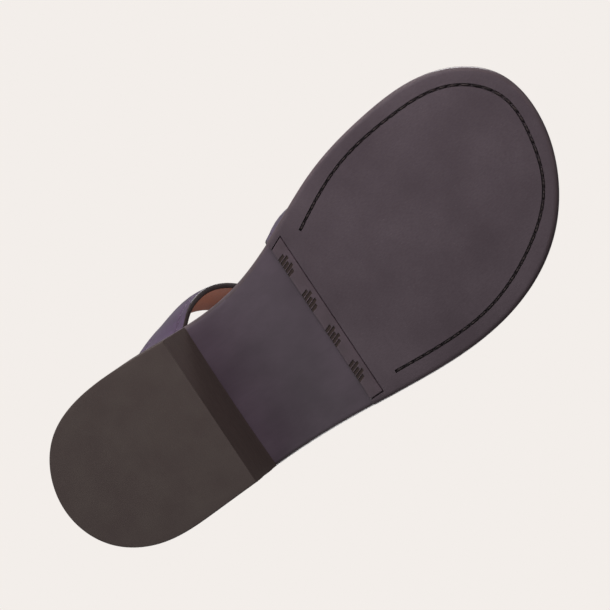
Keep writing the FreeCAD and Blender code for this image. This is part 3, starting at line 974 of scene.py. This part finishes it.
def build_crossing(materials):
    """A square of stitches where the straps cross, laid on the upper strap."""
    half = BOX_STITCH_HALF
    corners = ((-half, -half), (half, -half), (half, half), (-half, half), (-half, -half))
    strap = bpy.data.objects["rear_outer_strap_patent"]
    rows = []
    for (ax, ay), (bx, by) in zip(corners, corners[1:]):
        path = []
        ups = []
        for share in np.linspace(0.06, 0.94, 12):
            dx = ax + (bx - ax) * share
            dy = ay + (by - ay) * share
            x = CROSSING[0] + dx * math.cos(BOX_STITCH_TURN) - dy * math.sin(BOX_STITCH_TURN)
            y = CROSSING[1] + dx * math.sin(BOX_STITCH_TURN) + dy * math.cos(BOX_STITCH_TURN)
            hit, place, normal, _ = strap.ray_cast(Vector((x, y, ABOVE_ALL)) * MM, (0, 0, -1))
            if hit:
                path.append(np.array(place) / MM)
                ups.append(np.array(normal))
        rows.append((np.array(path), np.array(ups)))
    sew("crossing_box_stitch", rows, BOX_STITCH, materials["thread"], "strap_thread",
        "crossing_stitches")


# ---- materials ----


def srgb(red, green, blue):
    """A linear colour from 0 to 255 display values."""
    values = []
    for value in (red, green, blue):
        share = value / 255.0
        values.append(share / 12.92 if share <= 0.04045 else ((share + 0.055) / 1.055) ** 2.4)
    return (*values, 1.0)


class Nodes:
    """A node tree, with short ways to add to it. A colour is a socket or three display
    values from 0 to 255."""

    def __init__(self, tree):
        self.tree = tree

    def node(self, kind, **values):
        made = self.tree.nodes.new(kind)
        for name, value in values.items():
            setattr(made, name, value)
        return made

    def link(self, source, target):
        self.tree.links.new(source, target)

    def ramp(self, value, low, high, out_low=0.0, out_high=1.0):
        """A value carried from one range to another, and held there beyond it."""
        made = self.node("ShaderNodeMapRange")
        for name, number in (("From Min", low), ("From Max", high), ("To Min", out_low),
                             ("To Max", out_high)):
            made.inputs[name].default_value = number
        self.link(value, made.inputs["Value"])
        return made.outputs["Result"]

    def show_either(self, share, first, second, output):
        """Sends the first shader to an output where share is 0, and the second where 1."""
        made = self.node("ShaderNodeMixShader")
        for socket, source in zip(made.inputs, (share, first, second)):
            self.link(source, socket)
        self.link(made.outputs["Shader"], output.inputs["Surface"])


class Finish(Nodes):
    """A material under construction: its node tree and its Principled shader."""

    def __init__(self, name, roughness, specular=0.5, coat=0.0, coat_roughness=0.1):
        self.material = bpy.data.materials.new(name)
        self.material.use_nodes = True
        super().__init__(self.material.node_tree)
        self.shader = self.tree.nodes["Principled BSDF"]
        self.set("Roughness", roughness)
        self.set("Specular IOR Level", specular)
        self.set("Coat Weight", coat)
        self.set("Coat Roughness", coat_roughness)
        self.place = self.node("ShaderNodeTexCoord").outputs["Object"]

    def set(self, name, value):
        self.shader.inputs[name].default_value = value

    def stretched(self, scale):
        """The position, stretched by three factors."""
        mapping = self.node("ShaderNodeMapping")
        mapping.inputs["Scale"].default_value = scale
        self.link(self.place, mapping.inputs["Vector"])
        return mapping.outputs["Vector"]

    def noise(self, size, detail=4.0, stretch=(1.0, 1.0, 1.0)):
        """Noise with features of a size in millimetres."""
        made = self.node("ShaderNodeTexNoise")
        made.inputs["Scale"].default_value = 1.0 / (size * MM)
        made.inputs["Detail"].default_value = detail
        made.inputs["Roughness"].default_value = NOISE_ROUGHNESS
        self.link(self.stretched(stretch), made.inputs["Vector"])
        return made.outputs["Fac"]

    def cells(self, size, feature="F1"):
        """Cells of a size in millimetres, as distance from their middles or borders."""
        made = self.node("ShaderNodeTexVoronoi", feature=feature)
        made.inputs["Scale"].default_value = 1.0 / (size * MM)
        self.link(self.stretched((1.0, 1.0, 1.0)), made.inputs["Vector"])
        return made.outputs["Distance"]

    def mix(self, share, first, second):
        """A colour between two."""
        made = self.node("ShaderNodeMix", data_type="RGBA")
        self.link(share, made.inputs["Factor"])
        for socket, value in ((made.inputs[6], first), (made.inputs[7], second)):
            if isinstance(value, tuple):
                socket.default_value = srgb(*value)
            else:
                self.link(value, socket)
        return made.outputs[2]

    def clouded(self, value, dark, light):
        """Two shades that follow a value's slow changes."""
        return self.mix(self.ramp(value, 0.35, 0.65), dark, light)

    def colour(self, base, value, limits, over):
        """The surface's colour: a base with another over it. limits has the value's low and
        high, and how strongly the other colour shows at each."""
        mixed = self.mix(self.ramp(value, *limits), base, over)
        self.link(mixed, self.shader.inputs["Base Color"])

    def roughness(self, value, *limits):
        self.link(self.ramp(value, *limits), self.shader.inputs["Roughness"])

    def bump(self, *heights, coat=False):
        """Relief from (height, depth in millimetres) pairs, one over another."""
        normal = None
        for height, depth in heights:
            made = self.node("ShaderNodeBump")
            made.inputs["Distance"].default_value = depth * MM
            self.link(height, made.inputs["Height"])
            if normal is not None:
                self.link(normal, made.inputs["Normal"])
            normal = made.outputs["Normal"]
        self.link(normal, self.shader.inputs["Normal"])
        if coat:
            self.link(normal, self.shader.inputs["Coat Normal"])


def tread_leather():
    """Matt sueded leather with fine fibres and slow changes of shade."""
    finish = Finish("tread_leather", 0.62, specular=0.42)
    fibre = finish.noise(0.5, detail=5.0, stretch=(1.0, 0.35, 1.0))
    base = finish.clouded(finish.noise(38.0, detail=3.0), (57, 47, 53), (69, 59, 65))
    fine = finish.mix(finish.ramp(fibre, 0.25, 0.75, 0.0, 0.5), base, (48, 39, 44))
    finish.colour(fine, finish.cells(2.4), (0.0, 0.07, 0.35, 0.0), (120, 112, 112))
    finish.roughness(fibre, 0.2, 0.8, 0.56, 0.7)
    finish.bump((fibre, 0.05), (finish.noise(6.0), 0.05))
    return finish.material


def waist_leather():
    """Burnished leather: a smooth waxed surface with faint strokes along the sole."""
    finish = Finish("waist_leather", 0.4, specular=0.45, coat=0.15, coat_roughness=0.3)
    cloud = finish.noise(26.0, detail=2.0, stretch=(1.0, 0.6, 1.0))
    stroke = finish.noise(1.6, detail=5.0, stretch=(1.0, 0.08, 1.0))
    base = finish.clouded(cloud, (53, 42, 51), (67, 55, 65))
    finish.colour(base, stroke, (0.3, 0.7, 0.0, 0.3), (48, 38, 46))
    finish.roughness(stroke, 0.25, 0.75, 0.36, 0.46)
    finish.bump((stroke, 0.012), (finish.noise(14.0, detail=2.0), 0.22))
    return finish.material


def strip_leather():
    finish = Finish("strip_leather", 0.4, specular=0.45)
    grain = finish.noise(0.7, detail=5.0, stretch=(0.4, 1.0, 1.0))
    base = finish.clouded(finish.noise(9.0, detail=2.0), (60, 49, 55), (67, 55, 62))
    finish.colour(base, grain, (0.3, 0.7, 0.0, 0.35), (50, 39, 43))
    finish.bump((grain, 0.03))
    return finish.material


def bar_leather():
    """The tooled bars' floor, stained dark brown."""
    finish = Finish("tooled_bar_leather", 0.55, specular=0.3)
    grain = finish.noise(0.6)
    finish.colour((32, 23, 21), grain, (0.0, 1.0), (46, 35, 32))
    finish.bump((grain, 0.03))
    return finish.material


def edge_dressing():
    """Waxed paint over the trimmed edge of the sole's layers."""
    finish = Finish("edge_dressing", 0.4, specular=0.4, coat=0.1, coat_roughness=0.25)
    fibre = finish.noise(0.9, detail=5.0, stretch=(0.35, 0.35, 2.2))
    base = finish.clouded(finish.noise(12.0, detail=2.0), (60, 49, 54), (68, 56, 61))
    finish.colour(base, fibre, (0.3, 0.7, 0.0, 0.4), (42, 32, 35))
    finish.roughness(fibre, 0.25, 0.75, 0.3, 0.44)
    finish.bump((fibre, 0.03))
    return finish.material


def channel_painted_shade():
    """Cut flesh inside the channel and the strip's pocket: painted shade, nearly black."""
    finish = Finish("channel_painted_shade", 0.85, specular=0.15)
    fibre = finish.noise(0.4, detail=5.0)
    finish.colour((14, 10, 12), fibre, (0.0, 1.0), (26, 19, 22))
    finish.bump((fibre, 0.06))
    return finish.material


def top_lift_leather():
    """The heel's wear layer: matt, with a fine even mottle."""
    finish = Finish("top_lift_leather", 0.66, specular=0.36)
    fine = finish.noise(0.45, detail=6.0)
    patch = finish.noise(14.0)
    base = finish.clouded(patch, (60, 50, 48), (65, 56, 53))
    rough = finish.mix(finish.ramp(fine, 0.3, 0.7, 0.0, 0.55), base, (45, 37, 36))
    finish.colour(rough, finish.cells(1.8), (0.0, 0.1, 0.3, 0.0), (96, 88, 86))
    finish.bump((fine, 0.06), (patch, 0.08))
    return finish.material


def heel_stack_leather():
    """The lifts' cut edges: fibres lie level, stained very dark."""
    finish = Finish("heel_stack_leather", 0.5, specular=0.3)
    fibre = finish.noise(0.8, detail=6.0, stretch=(0.25, 0.25, 2.5))
    layer = finish.noise(1.1, detail=2.0, stretch=(0.02, 0.02, 1.0))
    base = finish.clouded(layer, (50, 41, 39), (56, 46, 44))
    finish.colour(base, fibre, (0.3, 0.7, 0.0, 0.4), (41, 33, 31))
    finish.roughness(fibre, 0.25, 0.75, 0.42, 0.6)
    finish.bump((fibre, 0.05))
    return finish.material


def patent_leather():
    """Deep purple patent: a smooth lacquer over a faint grain."""
    finish = Finish("patent_leather", 0.3, specular=0.3, coat=0.6, coat_roughness=0.08)
    finish.set("Coat Tint", srgb(240, 236, 255))
    grain = finish.cells(0.9, feature="SMOOTH_F1")
    base = finish.clouded(finish.noise(9.0, detail=3.0), (46, 31, 48), (62, 43, 66))
    finish.colour(base, grain, (0.3, 0.8, 0.0, 0.3), (34, 23, 36))
    finish.bump((grain, 0.018), (finish.noise(3.5, detail=2.0), 0.02), coat=True)
    return finish.material


def edge_paint():
    finish = Finish("edge_paint", 0.3, specular=0.5, coat=0.4, coat_roughness=0.15)
    wave = finish.noise(1.2, detail=3.0)
    finish.colour((26, 19, 20), wave, (0.0, 1.0), (38, 28, 30))
    finish.bump((wave, 0.05))
    return finish.material


def soft_leather(name, dark, light, recess_shade, specular):
    """Vegetable tanned leather: pores, creases and slow changes of shade."""
    finish = Finish(name, 0.6, specular=specular)
    cloud = finish.noise(22.0)
    pores = finish.cells(0.55)
    crease = finish.cells(1.5, feature="DISTANCE_TO_EDGE")
    base = finish.clouded(cloud, dark, light)
    # Painted shade: darker at the middle of each pore and along the creases, in one colour.
    shaded_pores = finish.mix(finish.ramp(pores, 0.0, 0.22, 0.5, 0.0), base, recess_shade)
    finish.colour(shaded_pores, crease, (0.0, 0.05, 0.22, 0.0), recess_shade)
    finish.roughness(cloud, 0.3, 0.7, 0.6, 0.74)
    furrow = finish.ramp(crease, 0.0, 0.09)
    finish.bump((furrow, 0.02), (pores, 0.03), (finish.noise(5.0), 0.12))
    return finish.material


def lining_leather():
    return soft_leather("lining_leather", (116, 60, 38), (136, 74, 46), (94, 48, 31), 0.06)


def footbed_surface():
    return soft_leather("footbed_surface", (138, 92, 66), (158, 108, 79), (108, 70, 49), 0.3)


def post_leather():
    """Thin rolled leather with creases round the post."""
    finish = Finish("post_leather", 0.36, specular=0.5, coat=0.35, coat_roughness=0.2)
    crease = finish.noise(1.0, detail=5.0, stretch=(0.5, 0.5, 1.6))
    finish.colour((40, 28, 42), crease, (0.3, 0.7), (58, 42, 60))
    finish.bump((crease, 0.1))
    return finish.material


def thread(name, dark, light, size):
    """Twisted thread: slanted plies and loose fibres."""
    finish = Finish(name, 0.6, specular=0.35)
    wave = finish.node("ShaderNodeTexWave", wave_type="BANDS", bands_direction="DIAGONAL")
    wave.inputs["Scale"].default_value = 1.0 / (size * MM) / 6.0
    wave.inputs["Distortion"].default_value = 1.5
    finish.link(finish.place, wave.inputs["Vector"])
    finish.colour(dark, wave.outputs["Fac"], (0.0, 1.0), light)
    finish.bump((wave.outputs["Fac"], 0.08))
    return finish.material


def board_material():
    """Pressed fibreboard."""
    finish = Finish("fibreboard", 0.8, specular=0.2)
    fibre = finish.noise(0.6, detail=6.0, stretch=(0.4, 0.4, 1.5))
    finish.colour((72, 52, 40), fibre, (0.0, 1.0), (112, 86, 66))
    finish.bump((fibre, 0.08))
    return finish.material


def steel_material():
    finish = Finish("spring_steel", 0.35)
    finish.set("Metallic", 1.0)
    brushed = finish.noise(0.5, detail=5.0, stretch=(1.0, 0.05, 1.0))
    finish.colour((120, 120, 124), brushed, (0.0, 1.0), (170, 170, 172))
    finish.roughness(brushed, 0.2, 0.8, 0.28, 0.45)
    finish.bump((brushed, 0.01))
    return finish.material


def brass_material():
    finish = Finish("nail_brass", 0.35)
    finish.set("Metallic", 1.0)
    worn = finish.noise(1.2)
    finish.colour((150, 112, 58), worn, (0.0, 1.0), (196, 158, 92))
    finish.roughness(worn, 0.2, 0.8, 0.25, 0.5)
    return finish.material


def cork_material():
    finish = Finish("granulated_cork", 0.85, specular=0.2)
    grains = finish.cells(1.6)
    finish.colour((150, 108, 70), grains, (0.0, 0.8), (92, 60, 38))
    finish.bump((grains, 0.2))
    return finish.material


def foam_material():
    finish = Finish("latex_foam", 0.9, specular=0.15)
    pores = finish.cells(0.7)
    finish.colour((150, 138, 116), pores, (0.0, 0.5), (214, 204, 182))
    finish.bump((pores, 0.15))
    return finish.material


def dress_hidden_nodes(linen):
    """Materials for the inner CAD pieces that stay as they are."""
    steel = steel_material()
    for names, material in (
        (("shank", "shank_rivets", "strap_tacks", "toe_post_washer"), steel),
        (("heel_nails",), brass_material()),
        (("cork_filler",), cork_material()),
        (("toe_post_core",), linen),
    ):
        for name in names:
            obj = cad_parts[name]
            for slot in obj.material_slots:
                slot.material = material


# ---- stage, lights and camera ----


def build_floor():
    """A pale floor that is clear when seen from below, where the camera is."""
    mesh = bpy.data.meshes.new("floor")
    corners = [(x * FLOOR_HALF, y * FLOOR_HALF, FLOOR_LEVEL)
               for x, y in ((-1, -1), (1, -1), (1, 1), (-1, 1))]
    mesh.from_pydata(corners, [], [(0, 1, 2, 3)])
    floor = bpy.data.objects.new("floor", mesh)
    bpy.context.scene.collection.objects.link(floor)
    finish = Finish("pale_floor", 0.9, specular=0.1)
    patch = finish.noise(400.0, detail=2.0)
    finish.colour((150, 147, 144), patch, (0.0, 1.0), (158, 155, 152))
    finish.set("Emission Color", srgb(*BACKGROUND))
    finish.set("Emission Strength", FLOOR_GLOW)
    clear = finish.node("ShaderNodeBsdfTransparent")
    seen_from_below = finish.node("ShaderNodeNewGeometry").outputs["Backfacing"]
    finish.show_either(seen_from_below, finish.shader.outputs["BSDF"], clear.outputs["BSDF"],
                       finish.tree.nodes["Material Output"])
    mesh.materials.append(finish.material)
    floor.visible_shadow = False
    floor.visible_diffuse = False
    floor.visible_glossy = False


def build_world():
    """A pale background, and soft light that is stronger from the inner side and weaker
    from above."""
    world = bpy.data.worlds.new("studio")
    bpy.context.scene.world = world
    world.use_nodes = True
    nodes = Nodes(world.node_tree)
    nodes.tree.nodes.clear()
    split = nodes.node("ShaderNodeSeparateXYZ")
    nodes.link(nodes.node("ShaderNodeTexCoord").outputs["Generated"], split.inputs["Vector"])
    strength = nodes.node("ShaderNodeMath", operation="MULTIPLY")
    nodes.link(nodes.ramp(split.outputs["X"], -1.0, 1.0, 0.06, 0.9), strength.inputs[0])
    nodes.link(nodes.ramp(split.outputs["Z"], 0.0, 0.9, 1.0, 0.35), strength.inputs[1])
    light = nodes.node("ShaderNodeBackground")
    light.inputs["Color"].default_value = (1.0, 0.985, 0.975, 1.0)
    nodes.link(strength.outputs[0], light.inputs["Strength"])
    seen = nodes.node("ShaderNodeBackground")
    seen.inputs["Color"].default_value = srgb(*BACKGROUND)
    camera_ray = nodes.node("ShaderNodeLightPath").outputs["Is Camera Ray"]
    nodes.show_either(camera_ray, light.outputs["Background"], seen.outputs["Background"],
                      nodes.node("ShaderNodeOutputWorld"))


def area_light(name, place, target, size, power):
    """A square soft light. Places and the size are in metres, the power in watts."""
    data = bpy.data.lights.new(name, "AREA")
    data.size = size
    data.energy = power
    light = bpy.data.objects.new(name, data)
    light.location = place
    back = Vector(place) - Vector(target)
    light.rotation_mode = "QUATERNION"
    light.rotation_quaternion = back.to_track_quat("Z", "Y")
    light.visible_camera = False
    bpy.context.scene.collection.objects.link(light)
    return light


def build_lights():
    """Two lights under the sandal for the photo's view, and two above it."""
    key = area_light("under_key", (0.34, 0.10, -0.24), (0.0, 0.0, 0.0), 0.3, 2.85)
    # Seen from above, the sole's lower edge would mirror this lamp as a white line.
    key.visible_glossy = False
    area_light("under_waist", (-0.1, -0.9, -0.7), (-0.01, -0.02, 0.0), 0.9, 0.8)
    area_light("upper_key", (1.1, 0.55, 0.8), (0.0, 0.0, 0.03), 0.7, 22.0)
    area_light("upper_fill", (-1.1, -0.7, 0.8), (0.0, 0.0, 0.03), 0.9, 14.0)


def build_camera():
    """Looks up at the sole from in front and below, with the toe at the upper right."""
    toward_toe = math.radians(17.0)
    toward_inner = math.radians(1.0)
    roll = math.radians(123.7)
    distance = 1.5
    target = Vector((0.0001, 0.0056, 0.0056))
    back = Vector((
        math.sin(toward_inner),
        math.sin(toward_toe) * math.cos(toward_inner),
        -math.cos(toward_toe) * math.cos(toward_inner),
    )).normalized()
    inner = (Vector((1, 0, 0)) - back * back.x).normalized()
    beside = back.cross(inner)
    right = inner * math.cos(roll) - beside * math.sin(roll)
    up = back.cross(right)
    data = bpy.data.cameras.new("camera")
    data.sensor_width = 36.0
    data.lens = 216.7
    camera = bpy.data.objects.new("camera", data)
    basis = Matrix((right, up, back)).transposed()
    camera.matrix_world = Matrix.Translation(target + back * distance) @ basis.to_4x4()
    bpy.context.scene.collection.objects.link(camera)
    bpy.context.scene.camera = camera


def main():
    build_camera()
    build_world()
    build_lights()
    build_floor()

    edge = edge_dressing()
    stack = heel_stack_leather()
    strap_materials = {
        "outer": patent_leather(),
        "lining": lining_leather(),
        "edge": edge_paint(),
        "post": post_leather(),
        "thread": thread("strap_thread", (44, 32, 46), (84, 66, 88), 0.5),
    }
    # The sole thread is dark thread made darker still, as painted shade of the channel it lies
    # in.
    linen = thread("sole_thread", (22, 17, 19), (50, 41, 42), 0.7)

    build_heel([top_lift_leather(), stack], [stack])
    build_outsole([waist_leather(), edge])
    build_midsole([edge])
    build_insole_board([board_material()])
    build_footbed([footbed_surface()])
    build_foam([foam_material()])
    build_half_sole([tread_leather(), edge, channel_painted_shade()])
    build_strip([strip_leather(), bar_leather()])
    build_channel_thread(linen)
    build_footbed_stitches(thread("footbed_thread", (120, 86, 62), (176, 134, 100), 0.5))
    build_strap("rear_inner_strap", True, 0.0, strap_materials)
    build_strap("rear_outer_strap", False, CROSSING_LIFT, strap_materials)
    build_stem(strap_materials)
    build_post(strap_materials)
    build_crossing(strap_materials)
    dress_hidden_nodes(linen)
    bpy.context.scene.view_settings.view_transform = "Standard"


main()
